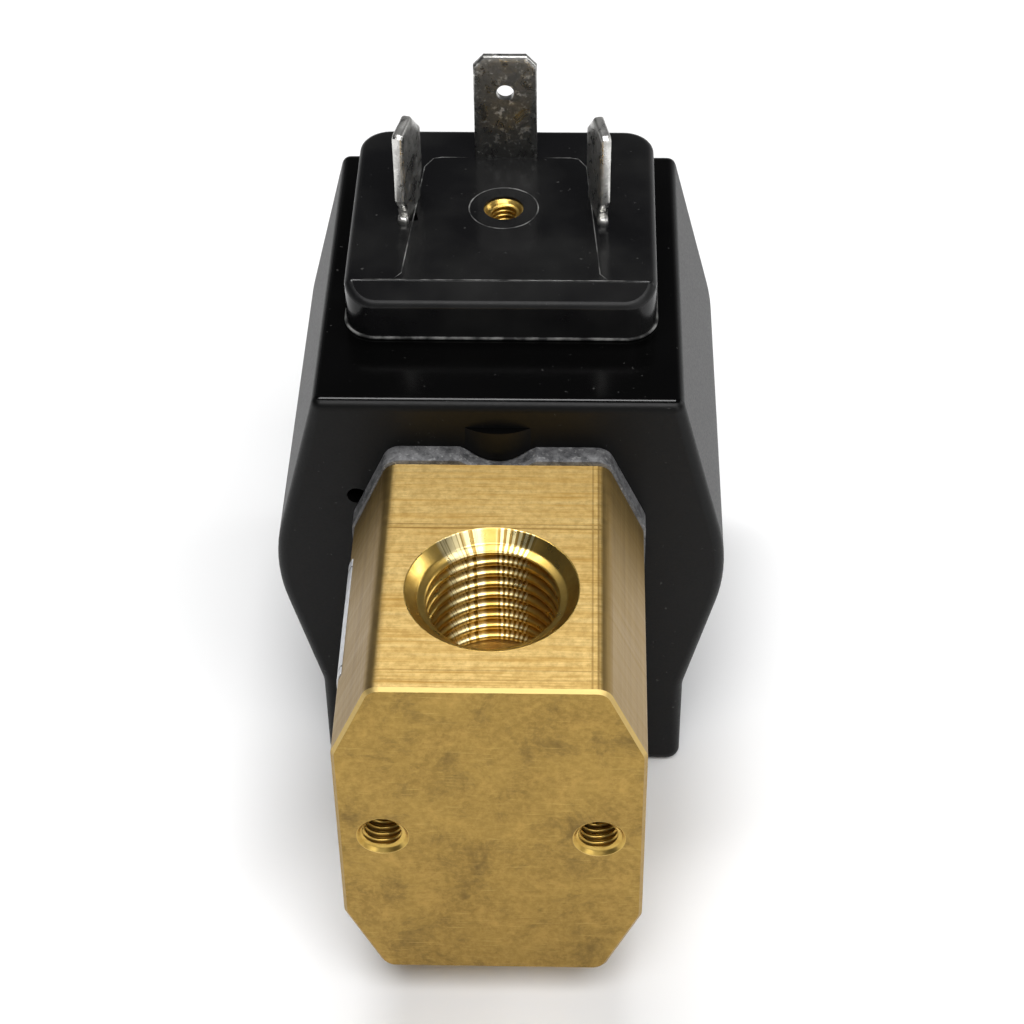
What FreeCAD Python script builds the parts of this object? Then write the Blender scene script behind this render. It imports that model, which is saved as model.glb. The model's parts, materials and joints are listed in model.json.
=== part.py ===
import FreeCAD, Part
import math
import os
import Sketcher

# Direct-acting two-way solenoid valve, lying on the flat foot of its coil.
# +Y runs along the armature from the mounting face of the brass body to the coil nut,
# +Z points to the connector and the upper port, and the origin is the middle of the mounting face.

SIZES = {
    # brass body
    "body_width": 27.0,
    "body_height": 37.6,
    "body_length": 28.3,
    "top_flat": 20.1,
    "side_flat": 21.5,
    "corner_rounding": 1.5,
    "edge_break": 0.3,
    "port_offset": 12.1,
    "port_thread": 13.157,
    "port_mouth": 15.25,
    "port_depth": 12.4,
    "pilot_bore": 4.0,
    "inlet_bore": 2.2,
    "inlet_spread": 3.2,
    "inlet_row": 15.6,
    "base_thread": 4.0,
    "base_mouth": 4.7,
    "base_depth": 8.0,
    "base_spacing": 19.0,
    "chamber_bore": 11.2,
    "chamber_floor": 15.0,
    "seat_bore": 3.0,
    "seat_nose": 5.4,
    "seat_height": 1.8,
    "socket_bore": 20.0,
    "socket_floor": 20.3,
    "label_foil": 0.12,
    # armature
    "tube_outer": 13.5,
    "tube_inner": 10.9,
    "tube_end": 66.0,
    "plunger_bore": 5.6,
    "plunger_diameter": 10.7,
    "plunger_length": 26.0,
    "plunger_nose": 8.4,
    "nose_length": 3.4,
    "seal_diameter": 6.0,
    "seal_thickness": 2.2,
    "seal_lip": 0.8,
    "stroke": 2.0,
    "air_gap": 0.1,
    "spring_wire": 0.5,
    "spring_outer": 4.9,
    "spring_pocket": 8.0,
    "spring_turns": 7.0,
    "stud_thread": 8.0,
    "stud_end": 79.5,
    "collar_length": 3.4,
    # coil
    "gasket_thickness": 2.0,
    "gasket_overhang": 0.2,
    "notch_radius": 6.1,
    "notch_centre": 24.0,
    "lug_radius": 5.45,
    "lug_proud": 0.9,
    "lug_top": 21.3,
    "coil_length": 39.6,
    "coil_top": 24.1,
    "coil_foot": 23.9,
    "top_half": 16.8,
    "waist_half": 22.0,
    "waist_level": 3.5,
    "foot_half": 18.0,
    "foot_level": 12.8,
    "waist_rounding": 20.0,
    "coil_edge": 1.0,
    "coil_bore": 14.0,
    "bush_outer": 16.0,
    "winding_inner": 18.0,
    "winding_outer": 30.0,
    "tape_outer": 30.5,
    "flange_outer": 31.0,
    "spool_start": 33.0,
    "spool_end": 67.0,
    "spool_flange": 1.0,
    "yoke_half": 17.2,
    "yoke_plate": 1.6,
    "yoke_rise": 9.0,
    # connector platform
    "platform_half": 14.5,
    "platform_front": 39.6,
    "platform_back": 66.6,
    "platform_top": 29.25,
    "platform_corner": 3.0,
    "bevel_depth": 2.3,
    "bevel_drop": 1.2,
    "contact_spacing": 18.0,
    "contact_row": 53.2,
    "earth_distance": 8.8,
    "blade_width": 6.3,
    "blade_thickness": 0.8,
    "folded_blade": 1.0,
    "blade_neck": 4.4,
    "blade_root": 11.0,
    "blade_top": 39.4,
    "earth_top": 40.7,
    "toe_in": 12.0,
    "carrier_thickness": 3.0,
    "insert_thread": 3.0,
    "insert_outer": 3.8,
    "insert_depth": 9.0,
}


class Size:
    """A length that knows its value and the sheet formula that gives it."""

    def __init__(self, number, formula):
        self.number = number
        self.formula = formula

    def __add__(self, other):
        other = as_size(other)
        return Size(self.number + other.number, f"({self.formula} + {other.formula})")

    def __radd__(self, other):
        return as_size(other) + self

    def __sub__(self, other):
        other = as_size(other)
        return Size(self.number - other.number, f"({self.formula} - {other.formula})")

    def __rsub__(self, other):
        return as_size(other) - self

    def __mul__(self, other):
        other = as_size(other)
        return Size(self.number * other.number, f"({self.formula} * {other.formula})")

    def __truediv__(self, other):
        other = as_size(other)
        return Size(self.number / other.number, f"({self.formula} / {other.formula})")

    def __neg__(self):
        return Size(-self.number, f"(0 - {self.formula})")


def as_size(value):
    """Give a plain number the same manners as a Size."""
    return value if isinstance(value, Size) else Size(float(value), str(value))


class Sheet:
    """The driving dimensions, each an attribute that is a Size."""

    def __init__(self, document, sizes):
        table = document.addObject("Spreadsheet::Sheet", "dims")
        for row, (alias, number) in enumerate(sizes.items(), start=1):
            table.set(f"A{row}", alias.replace("_", " "))
            table.set(f"B{row}", str(number))
            table.setAlias(f"B{row}", alias)
            setattr(self, alias, Size(number, f"dims.{alias}"))


doc = FreeCAD.newDocument("solenoid_valve")
dims = Sheet(doc, SIZES)
doc.recompute()

X_AXIS = FreeCAD.Vector(1, 0, 0)
Y_AXIS = FreeCAD.Vector(0, 1, 0)
Z_AXIS = FreeCAD.Vector(0, 0, 1)
FROM_Z_TO = {
    "Y": FreeCAD.Rotation(X_AXIS, -90),
    "Z": FreeCAD.Rotation(),
}

sub_parts = []


# ---- small makers -------------------------------------------------------------------------


def bind(thing, **formulas):
    """Set properties to sizes and keep them bound to the sheet."""
    for name, size in formulas.items():
        thing.setExpression(name, as_size(size).formula)
    return thing


def place(thing, at, rotation=None):
    """Put an object at a point whose three coordinates are sizes."""
    sizes = [as_size(value) for value in at]
    point = FreeCAD.Vector(*[size.number for size in sizes])
    thing.Placement = FreeCAD.Placement(point, rotation or FreeCAD.Rotation())
    for letter, size in zip("xyz", sizes):
        if "dims." in size.formula:
            thing.setExpression(f"Placement.Base.{letter}", size.formula)
    return thing


def box(label, low, high):
    """A block between two corners."""
    block = doc.addObject("Part::Box", label)
    spans = [as_size(b) - as_size(a) for a, b in zip(low, high)]
    bind(block, Length=spans[0], Width=spans[1], Height=spans[2])
    return place(block, low)


def cylinder(label, diameter, start, end, axis="Y", at=(0, 0)):
    """A round bar along Y or Z; at holds the two other coordinates in x, y, z order."""
    bar = doc.addObject("Part::Cylinder", label)
    bind(bar, Radius=as_size(diameter) / 2, Height=as_size(end) - as_size(start))
    return place(bar, axis_point(axis, start, at), FROM_Z_TO[axis])


def cone(label, first, last, start, end, axis="Y", at=(0, 0)):
    """A round taper along Y or Z from one diameter to another."""
    taper = doc.addObject("Part::Cone", label)
    bind(taper, Radius1=as_size(first) / 2, Radius2=as_size(last) / 2,
         Height=as_size(end) - as_size(start))
    return place(taper, axis_point(axis, start, at), FROM_Z_TO[axis])


def ring(label, ring_diameter, section_diameter, level):
    """A torus round the armature axis."""
    torus = doc.addObject("Part::Torus", label)
    bind(torus, Radius1=as_size(ring_diameter) / 2, Radius2=as_size(section_diameter) / 2)
    return place(torus, (0, level, 0), FROM_Z_TO["Y"])


def axis_point(axis, along, across):
    """The start point of a bar on a given axis."""
    first, second = across
    return (first, along, second) if axis == "Y" else (first, second, along)


def cut(label, base, tools):
    """Take the tools away from the base."""
    tool = tools[0] if len(tools) == 1 else fuse(f"{label}_tools", tools)
    difference = doc.addObject("Part::Cut", label)
    difference.Base = base
    difference.Tool = tool
    return difference


def fuse(label, shapes):
    """Join solids into one."""
    union = doc.addObject("Part::MultiFuse", label)
    union.Shapes = shapes
    union.Refine = True
    return union


def common(label, first, second):
    """Keep what two solids share."""
    shared = doc.addObject("Part::Common", label)
    shared.Base = first
    shared.Tool = second
    return shared


def washer(label, inner, outer, start, end):
    """A flat ring on the armature axis."""
    return cut(label, cylinder(f"{label}_disc", outer, start, end),
               [cylinder(f"{label}_hole", inner, start - 1, end + 1)])


def part_body(label):
    """A PartDesign body."""
    return doc.addObject("PartDesign::Body", label)


def sketch_on(body, name, role, offset=None):
    """A sketch on one of the body's own origin planes, moved along the plane's normal."""
    sketch = body.newObject("Sketcher::SketchObject", name)
    plane = next(item for item in body.Origin.OriginFeatures if item.Role == role)
    sketch.AttachmentSupport = [(plane, "")]
    sketch.MapMode = "FlatFace"
    if offset is not None:
        sketch.setExpression("AttachmentOffset.Base.z", offset.formula)
    return sketch


def outline(sketch, corners):
    """Close a polygon whose every corner is bound to the sheet."""
    sizes = [(as_size(x), as_size(y)) for x, y in corners]
    points = [FreeCAD.Vector(x.number, y.number, 0) for x, y in sizes]
    count = len(points)
    for index in range(count):
        sketch.addGeometry(Part.LineSegment(points[index], points[(index + 1) % count]))
    for index in range(count):
        sketch.addConstraint(Sketcher.Constraint("Coincident", index, 2, (index + 1) % count, 1))
    for index, pair in enumerate(sizes):
        for kind, size in zip(("DistanceX", "DistanceY"), pair):
            constraint = Sketcher.Constraint(kind, -1, 1, index, 1, size.number)
            number = sketch.addConstraint(constraint)
            sketch.setExpression(f"Constraints[{number}]", size.formula)


def pad(body, name, sketch, length, backwards=False, middle=False):
    """Thicken a sketch."""
    feature = body.newObject("PartDesign::Pad", name)
    feature.Profile = sketch
    bind(feature, Length=length)
    feature.Reversed = backwards
    feature.Midplane = middle
    doc.recompute()
    return feature


def edge_names(shape, wanted):
    """Names of the edges that a test picks out."""
    return [f"Edge{i}" for i, edge in enumerate(shape.Edges, start=1) if wanted(edge)]


def runs_along(edge, axis):
    """True for a straight edge parallel to an axis."""
    if len(edge.Vertexes) < 2:
        return False
    span = edge.Vertexes[1].Point - edge.Vertexes[0].Point
    return abs(span.dot(axis)) > 0.9999 * edge.Length


def middle_of(edge):
    return edge.CenterOfMass


def round_edges(body, name, base, wanted, radius):
    """Fillet the edges of a feature that a test picks out."""
    fillet = body.newObject("PartDesign::Fillet", name)
    fillet.Base = (base, edge_names(base.Shape, wanted))
    bind(fillet, Radius=radius)
    doc.recompute()
    return fillet


def mirror_pairs(right_side):
    """Corners of a left-right symmetric polygon from those of its right side, bottom to top."""
    right = [(as_size(x), as_size(y)) for x, y in right_side]
    return right + [(-x, y) for x, y in reversed(right)]


def finished(thing, label):
    """Record a sub-part under the name of its file."""
    thing.Label = label
    sub_parts.append(thing)
    return thing


# ---- brass body and what is fixed to it ----------------------------------------------------


def octagon_prism(label, start, length, grow):
    """The octagonal section of the brass body, grown all round and thickened along Y."""
    body = part_body(label)
    sketch = sketch_on(body, f"{label}_section", "XZ_Plane", -as_size(start))
    half_width = dims.body_width / 2 + grow
    half_height = dims.body_height / 2 + grow
    outline(sketch, mirror_pairs([
        (dims.top_flat / 2, -half_height),
        (half_width, -(dims.side_flat / 2)),
        (half_width, dims.side_flat / 2),
        (dims.top_flat / 2, half_height),
    ]))
    prism = pad(body, f"{label}_pad", sketch, length, backwards=True)
    round_edges(body, f"{label}_rounding", prism, lambda edge: runs_along(edge, Y_AXIS),
                dims.corner_rounding + grow)
    return body


def break_end_edges(body):
    """Small chamfers round the two sawn ends of the bar."""
    base = body.Tip
    chamfer = body.newObject("PartDesign::Chamfer", "end_edge_break")
    chamfer.Base = (base, edge_names(base.Shape, lambda edge: edge.BoundBox.YLength < 0.001))
    bind(chamfer, Size=dims.edge_break)
    doc.recompute()


def port(label, side):
    """Tools of one threaded port: bore and 45 degree mouth. side is +1 for top, -1 for bottom."""
    face = dims.body_height / 2
    mouth_depth = (dims.port_mouth - dims.port_thread) / 2
    at = (0, dims.port_offset)
    low, high = (face - dims.port_depth, face + 1)
    if side < 0:
        low, high = -high, -low
    bore = cylinder(f"{label}_bore", dims.port_thread, low, high, "Z", at)
    wide, narrow = dims.port_mouth, dims.port_thread
    if side > 0:
        mouth = cone(f"{label}_mouth", narrow, wide, face - mouth_depth, face, "Z", at)
    else:
        mouth = cone(f"{label}_mouth", wide, narrow, -face, mouth_depth - face, "Z", at)
    return [bore, mouth]


def base_hole(label, x):
    """Tools of one blind fixing hole in the mounting face."""
    mouth_depth = (dims.base_mouth - dims.base_thread) / 2
    drill = cylinder(f"{label}_drill", dims.base_thread, -1, dims.base_depth, "Y", (x, 0))
    tip = cone(f"{label}_tip", dims.base_thread, 0.2, dims.base_depth, dims.base_depth + 1.2,
               "Y", (x, 0))
    mouth = cone(f"{label}_mouth", dims.base_mouth, dims.base_thread, 0, mouth_depth, "Y", (x, 0))
    return [drill, tip, mouth]


def make_valve_body():
    """Octagonal brass bar with two ports, seat, armature socket and two fixing holes."""
    blank = octagon_prism("body_bar", 0, dims.body_length, 0)
    break_end_edges(blank)
    seat_face = dims.chamber_floor + dims.seat_height
    port_floor = dims.body_height / 2 - dims.port_depth
    chamber = cut("annular_chamber",
                  cylinder("chamber_bore", dims.chamber_bore, dims.chamber_floor,
                           dims.socket_floor + 0.5),
                  [cylinder("seat_nose", dims.seat_nose, dims.chamber_floor - 1, seat_face)])
    tools = [chamber]
    tools += port("port_top", 1) + port("port_bottom", -1)
    tools += base_hole("base_hole_right", dims.base_spacing / 2)
    tools += base_hole("base_hole_left", -(dims.base_spacing / 2))
    tools += [
        cylinder("tube_socket", dims.socket_bore, dims.socket_floor, dims.body_length + 1),
        cylinder("seat_orifice", dims.seat_bore, dims.port_offset, seat_face + 0.5),
        cylinder("outlet_pilot", dims.pilot_bore, -(port_floor + 1), 1.6, "Z",
                 (0, dims.port_offset)),
    ]
    for name, side in (("inlet_left", -1), ("inlet_right", 1)):
        tools.append(cylinder(name, dims.inlet_bore, 2, port_floor + 1, "Z",
                              (dims.inlet_spread * side, dims.inlet_row)))
    return finished(cut("body_machined", blank, tools), "valve_body")


def make_nameplate():
    """A blank foil label on the left flat of the body, folded over the rounded edge above it."""
    skin = cut("label_skin", octagon_prism("label_outer", 7.5, 16.5, dims.label_foil),
               [octagon_prism("label_inner", 7, 17.5, 0)])
    window = box("label_window", (-16, 8.5, -8.5), (-10, 23, 11.6))
    return finished(common("label_foil", skin, window), "nameplate")


def make_gasket():
    """The plate between body and coil: the body's outline, a tube hole and a keying notch."""
    start = dims.body_length
    plate = octagon_prism("gasket_plate", start, dims.gasket_thickness, dims.gasket_overhang)
    end = start + dims.gasket_thickness
    tools = [
        cylinder("gasket_hole", dims.tube_outer + 0.3, start - 1, end + 1),
        cylinder("gasket_notch", dims.notch_radius * 2, start - 1, end + 1, "Y",
                 (0, dims.notch_centre)),
    ]
    return finished(cut("gasket_cut", plate, tools), "coil_gasket")


# ---- armature ------------------------------------------------------------------------------


def make_tube():
    """Guide tube on a threaded base, with the groove of its seal."""
    base = cylinder("tube_base", dims.socket_bore, dims.socket_floor, dims.body_length)
    barrel = cylinder("tube_barrel", dims.tube_outer, dims.body_length, dims.tube_end)
    groove = cut("tube_groove",
                 cylinder("groove_outer", dims.socket_bore + 1, 21.2, 23.2),
                 [cylinder("groove_inner", dims.socket_bore - 3.2, 21, 23.4)])
    bore = cylinder("tube_bore", dims.tube_inner, dims.socket_floor - 1, dims.tube_end + 1)
    joined = fuse("tube_solid", [base, barrel])
    return finished(cut("tube_cut", joined, [bore, groove]), "armature_tube")


def make_tube_seal():
    """O-ring of the tube base, just clear of the socket wall."""
    return finished(ring("tube_ring", dims.socket_bore - 1.62, 1.56, 22.2), "tube_o_ring")


def plunger_front():
    """The face of the plunger nose, set back from the seat by the lip of the seal."""
    return dims.chamber_floor + dims.seat_height + dims.seal_lip


def core_front():
    """The face of the fixed core."""
    return plunger_front() + dims.plunger_length + dims.stroke + dims.air_gap


def make_fixed_core():
    """Stopper welded in the end of the tube, with the stud for the coil nut."""
    collar_end = dims.tube_end + dims.collar_length
    solid = fuse("core_solid", [
        cylinder("core_slug", dims.tube_inner, core_front(), dims.tube_end),
        cylinder("core_collar", dims.tube_outer, dims.tube_end, collar_end),
        cylinder("core_stud", dims.stud_thread, collar_end, dims.stud_end - 0.7),
        cone("core_stud_tip", dims.stud_thread, dims.stud_thread - 1.4,
             dims.stud_end - 0.7, dims.stud_end),
    ])
    groove = washer("shading_groove", 7.2, 9.2, core_front() - 0.5, core_front() + 1.5)
    return finished(cut("core_cut", solid, [groove]), "fixed_core")


def make_shading_ring():
    """Copper ring set in the face of the core, which stops the plunger from humming."""
    start = core_front() + 0.1
    return finished(washer("shading_washer", 7.2, 9.2, start, core_front() + 1.5), "shading_ring")


def make_plunger():
    """Moving armature: nose, fluted barrel, spring pocket and guide ring groove."""
    front = plunger_front()
    back = front + dims.plunger_length
    nose_end = front + dims.nose_length
    solid = fuse("plunger_solid", [
        cylinder("plunger_nose", dims.plunger_nose, front, nose_end),
        cylinder("plunger_barrel", dims.plunger_diameter, nose_end, back),
    ])
    seal_pocket = cylinder("seal_pocket", dims.seal_diameter, front - 1,
                           front + dims.seal_thickness - dims.seal_lip)
    spring_pocket = cylinder("spring_pocket", dims.plunger_bore, back - dims.spring_pocket,
                             back + 1)
    tools = [seal_pocket, spring_pocket, guide_groove(back)]
    for number in range(4):
        angle = math.radians(45 + 90 * number)
        radius = dims.plunger_diameter / 2
        at = (radius * round(math.cos(angle), 6), radius * round(math.sin(angle), 6))
        tools.append(cylinder(f"flute_{number + 1}", 1.6, nose_end - 1, back + 1, "Y", at))
    return finished(cut("plunger_cut", solid, tools), "plunger")


def guide_groove(back):
    """The groove round the plunger that holds the guide ring."""
    return washer("guide_groove", dims.plunger_diameter - 1.2, dims.plunger_diameter + 1,
                  back - 4.5, back - 2.5)


def make_guide_ring():
    """Low-friction ring that keeps the plunger off the tube wall."""
    back = plunger_front() + dims.plunger_length
    return finished(washer("guide_washer", dims.plunger_diameter - 1.2, dims.tube_inner - 0.06,
                           back - 4.5, back - 2.5), "plunger_guide_ring")


def make_plunger_seal():
    """Rubber disc in the nose that closes the seat."""
    front = plunger_front()
    disc = cylinder("seal_disc", dims.seal_diameter, front - dims.seal_lip,
                    front - dims.seal_lip + dims.seal_thickness)
    return finished(disc, "plunger_seal")


def make_spring():
    """Compression spring of twelve-sided wire between the plunger pocket and the core."""
    start = plunger_front() + dims.plunger_length - dims.spring_pocket
    height = core_front() - start - dims.spring_wire - 0.04
    helix = doc.addObject("Part::Helix", "spring_path")
    mean_radius = (dims.spring_outer - dims.spring_wire) / 2
    bind(helix, Radius=mean_radius, Height=height, Pitch=height / dims.spring_turns)
    wire = doc.addObject("Part::RegularPolygon", "spring_section")
    wire.Polygon = 12
    bind(wire, Circumradius=dims.spring_wire / 2)
    place(wire, (mean_radius, 0, 0), FreeCAD.Rotation(X_AXIS, 90))
    doc.recompute()
    coil = doc.addObject("Part::Sweep", "spring_coil")
    coil.Sections = [wire]
    coil.Spine = (helix, ["Edge1"])
    coil.Solid = True
    coil.Frenet = True
    place(coil, (0, start + dims.spring_wire / 2 + 0.02, 0), FROM_Z_TO["Y"])
    return finished(coil, "return_spring")


# ---- coil ----------------------------------------------------------------------------------


def coil_front():
    return dims.body_length + dims.gasket_thickness


def coil_back():
    return coil_front() + dims.coil_length


def make_bobbin():
    """Flanged spool, bored out at both ends for the flux bushes."""
    start, end = dims.spool_start, dims.spool_end
    solid = fuse("bobbin_solid", [
        cylinder("bobbin_barrel", dims.winding_inner, start, end),
        cylinder("bobbin_flange_front", dims.flange_outer, start, start + dims.spool_flange),
        cylinder("bobbin_flange_back", dims.flange_outer, end - dims.spool_flange, end),
    ])
    bore = cylinder("bobbin_bore", dims.bush_outer, start - 1, end + 1)
    return finished(cut("bobbin_cut", solid, [bore]), "coil_bobbin")


def make_winding():
    """The copper winding as one solid ring."""
    start = dims.spool_start + dims.spool_flange
    end = dims.spool_end - dims.spool_flange
    return finished(washer("winding_ring", dims.winding_inner, dims.winding_outer, start, end),
                    "coil_winding")


def make_tape():
    """Insulating tape round the winding."""
    start = dims.spool_start + dims.spool_flange
    end = dims.spool_end - dims.spool_flange
    return finished(washer("tape_ring", dims.winding_outer, dims.tape_outer, start, end),
                    "winding_tape")


def yoke_front():
    return dims.spool_start - dims.yoke_plate


def yoke_back():
    return dims.spool_end + dims.yoke_plate


def make_yoke():
    """Closed steel frame that carries the flux round the spool."""
    frame = box("yoke_block", (-dims.yoke_half, yoke_front(), -dims.yoke_rise),
                (dims.yoke_half, yoke_back(), dims.yoke_rise))
    inner_half = dims.yoke_half - dims.yoke_plate
    window = box("yoke_window", (-inner_half, dims.spool_start, -20),
                 (inner_half, dims.spool_end, 20))
    bore = cylinder("yoke_bore", dims.bush_outer, yoke_front() - 1, yoke_back() + 1)
    return finished(cut("yoke_cut", frame, [window, bore]), "yoke")


def make_bushes():
    """Steel bushes that lead the flux from the yoke to the tube."""
    length = 10
    front = washer("bush_front", dims.coil_bore, dims.bush_outer, yoke_front(),
                   yoke_front() + length)
    back = washer("bush_back", dims.coil_bore, dims.bush_outer, yoke_back() - length,
                  yoke_back())
    return [finished(front, "flux_bush_front"), finished(back, "flux_bush_back")]


def side_contact(label, side):
    """One supply blade with its neck and its root in the moulding, bent in by the toe-in angle."""
    body = part_body(f"{label}_blade")
    sketch = sketch_on(body, f"{label}_outline", "YZ_Plane")
    half = dims.blade_width / 2
    neck, shoulder = dims.blade_neck / 2, dims.platform_top + 2.7
    root = dims.platform_top - dims.blade_root
    outline(sketch, [
        (-neck, root),
        (neck, root),
        (neck, dims.platform_top + 1.2),
        (half, shoulder - 0.4),
        (half, dims.blade_top - 2.8),
        (half - 2.8, dims.blade_top),
        (-half + 0.3, dims.blade_top),
        (-half, dims.blade_top - 0.3),
        (-half, shoulder),
        (-neck, dims.platform_top + 1.2),
    ])
    pad(body, f"{label}_pad", sketch, dims.folded_blade, middle=True)
    place(body, (dims.contact_spacing / 2 * side, dims.contact_row, 0),
          FreeCAD.Rotation(Z_AXIS, SIZES["toe_in"] * side))
    body.setExpression("Placement.Rotation.Angle", f"{dims.toe_in.formula}")
    return finished(body, label)


def earth_row():
    return dims.contact_row + dims.earth_distance


def make_earth_contact():
    """Earth blade with chamfered corners and a locking hole."""
    body = part_body("earth_blade")
    sketch = sketch_on(body, "earth_outline", "XZ_Plane", -(earth_row() - 0.4))
    half = dims.blade_width / 2 - 0.1
    outline(sketch, mirror_pairs([
        (half, dims.platform_top - dims.blade_root),
        (half, dims.earth_top - 1.1),
        (half - 1.0, dims.earth_top),
    ]))
    pad(body, "earth_pad", sketch, dims.blade_thickness, backwards=True)
    hole = cylinder("earth_hole", 1.7, earth_row() - 2, earth_row() + 2, "Y",
                    (0, dims.earth_top - 4))
    return finished(cut("earth_cut", body, [hole]), "earth_contact")


def make_earth_link():
    """Steel strap from the root of the earth blade down to the back plate of the yoke."""
    top = dims.platform_top - 8
    start = earth_row() - 0.4 + dims.blade_thickness
    strap = fuse("earth_strap", [
        box("earth_strap_run", (-1.5, start, top - 0.6), (1.5, yoke_back(), top)),
        box("earth_strap_drop", (-1.5, yoke_back() - 0.6, dims.yoke_rise),
            (1.5, yoke_back(), top)),
    ])
    return finished(strap, "earth_link")


def make_lead_wire(label, side):
    """Lead-out wire from the winding tape up to the root of a blade."""
    wire = cylinder(f"{label}_rod", 0.8, 8, dims.platform_top - dims.blade_root, "Z",
                    (dims.contact_spacing / 2 * side, dims.contact_row))
    space = cylinder(f"{label}_spool", dims.tape_outer, dims.spool_start, dims.spool_end)
    return finished(cut(f"{label}_cut", wire, [space]), label)


def make_carrier(contacts):
    """Contact carrier set flush in the platform, clamping the three blades at its edges."""
    body = part_body("carrier_plate")
    sketch = sketch_on(body, "carrier_outline", "XY_Plane",
                       dims.platform_top - dims.carrier_thickness)
    outline(sketch, mirror_pairs(carrier_corners()))
    pad(body, "carrier_pad", sketch, dims.carrier_thickness)
    hole = cylinder("carrier_hole", dims.insert_outer, 10, dims.platform_top + 1, "Z",
                    (0, dims.contact_row))
    return finished(cut("carrier_cut", body, [hole] + contacts), "terminal_carrier")


def carrier_corners():
    """Right side of the carrier's outline, front to back."""
    front = dims.platform_front + dims.bevel_depth
    back = earth_row() - 0.4
    return [(10.0, front), (9.2, front + 1.0), (7.9, back - 1.6), (7.1, back - 0.2), (6.3, back)]


def make_insert():
    """Brass insert for the screw of the cable plug."""
    top = dims.platform_top - 0.25
    at = (0, dims.contact_row)
    slug = cylinder("insert_slug", dims.insert_outer, top - dims.insert_depth, top, "Z", at)
    bore = cylinder("insert_bore", dims.insert_thread, top - dims.insert_depth + 1, top + 1,
                    "Z", at)
    mouth = cone("insert_mouth", dims.insert_thread, dims.insert_thread + 0.6, top - 0.3, top,
                 "Z", at)
    return finished(cut("insert_cut", slug, [bore, mouth]), "connector_insert")


def coil_block():
    """The moulded block: a waisted section carried along Y, its long edges rounded."""
    body = part_body("coil_block")
    sketch = sketch_on(body, "coil_section", "XZ_Plane", -coil_front())
    outline(sketch, mirror_pairs([
        (dims.foot_half, -dims.coil_foot),
        (dims.foot_half, -dims.foot_level),
        (dims.waist_half, dims.waist_level),
        (dims.top_half, dims.coil_top),
    ]))
    block = pad(body, "coil_pad", sketch, dims.coil_length, backwards=True)

    def long_edge(level):
        return lambda edge: (runs_along(edge, Y_AXIS)
                             and abs(middle_of(edge).z - level.number) < 0.01)

    waist = round_edges(body, "coil_waist", block, long_edge(dims.waist_level),
                        dims.waist_rounding)
    hips = round_edges(body, "coil_hips", waist, long_edge(-dims.foot_level), as_size(5))
    top = round_edges(body, "coil_top_edges", hips, long_edge(dims.coil_top), as_size(0.9))
    foot = round_edges(body, "coil_foot_edges", top, long_edge(-dims.coil_foot), as_size(1.3))
    ends = round_edges(body, "coil_end_edges", foot, end_edge, dims.coil_edge)
    add_platform(body, ends)
    return body


def end_edge(edge):
    """True for the edges of the coil's front and back faces."""
    box_y = edge.BoundBox
    flat = box_y.YLength < 0.01
    return flat and (abs(box_y.YMin - coil_front().number) < 0.01
                     or abs(box_y.YMin - coil_back().number) < 0.01)


def add_platform(body, base):
    """The connector platform on top of the block, with its front bevel and round corners."""
    sketch = sketch_on(body, "platform_outline", "XY_Plane", dims.coil_top - 1)
    outline(sketch, mirror_pairs([
        (dims.platform_half, dims.platform_front),
        (dims.platform_half, dims.platform_back),
    ]))
    raised = pad(body, "platform_pad", sketch, dims.platform_top - dims.coil_top + 1)
    level = dims.platform_top.number
    front = dims.platform_front.number
    bevel = body.newObject("PartDesign::Chamfer", "platform_bevel")
    bevel.Base = (raised, edge_names(raised.Shape, lambda edge: (
        runs_along(edge, X_AXIS) and abs(middle_of(edge).z - level) < 0.01
        and abs(middle_of(edge).y - front) < 0.01)))
    bevel.ChamferType = "Two distances"
    bind(bevel, Size=dims.bevel_drop, Size2=dims.bevel_depth)
    doc.recompute()
    corners = round_edges(body, "platform_corners", bevel, lambda edge: (
        runs_along(edge, Z_AXIS) and middle_of(edge).z > dims.coil_top.number
        and abs(abs(middle_of(edge).x) - dims.platform_half.number) < 0.01),
        dims.platform_corner)
    round_edges(body, "platform_rim", corners, platform_rim, as_size(0.8))


def platform_rim(edge):
    """True for every edge of the platform's top and of its bevel."""
    return edge.BoundBox.ZMin > (dims.platform_top - dims.bevel_drop).number - 0.1


def keying_lug():
    """Shallow rounded lug on the front face that sits in the notch of the gasket."""
    swell = cylinder("lug_swell", dims.lug_radius * 2, 15, dims.lug_top, "Z",
                     (0, coil_front() - dims.lug_proud + dims.lug_radius))
    limit = cylinder("lug_limit", dims.notch_radius * 2 - 0.4, coil_front() - 2,
                     coil_front() + 2, "Y", (0, dims.notch_centre))
    return common("keying_lug", swell, limit)


def make_coil_housing(inner):
    """Moulded coil: block, keying lug, bores and the room for everything set in it."""
    front, back = coil_front(), coil_back()
    solid = fuse("coil_solid", [coil_block(), keying_lug()])
    tools = [
        cylinder("coil_bore_cut", dims.coil_bore, front - 1, back + 1),
        cylinder("coil_spool_cut", dims.tape_outer, dims.spool_start, dims.spool_end),
        cylinder("coil_rear_recess", 18, back - 0.6, back + 1),
        cylinder("coil_pin_hole", 1.8, front - 1, front + 4, "Y", (-13.3, 12.8)),
        cylinder("coil_pin_hole_low", 1.8, front - 1, front + 4, "Y", (13.3, -12.8)),
        carrier_pocket(),
    ]
    return finished(cut("coil_cut", solid, tools + inner), "coil_housing")


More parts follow.
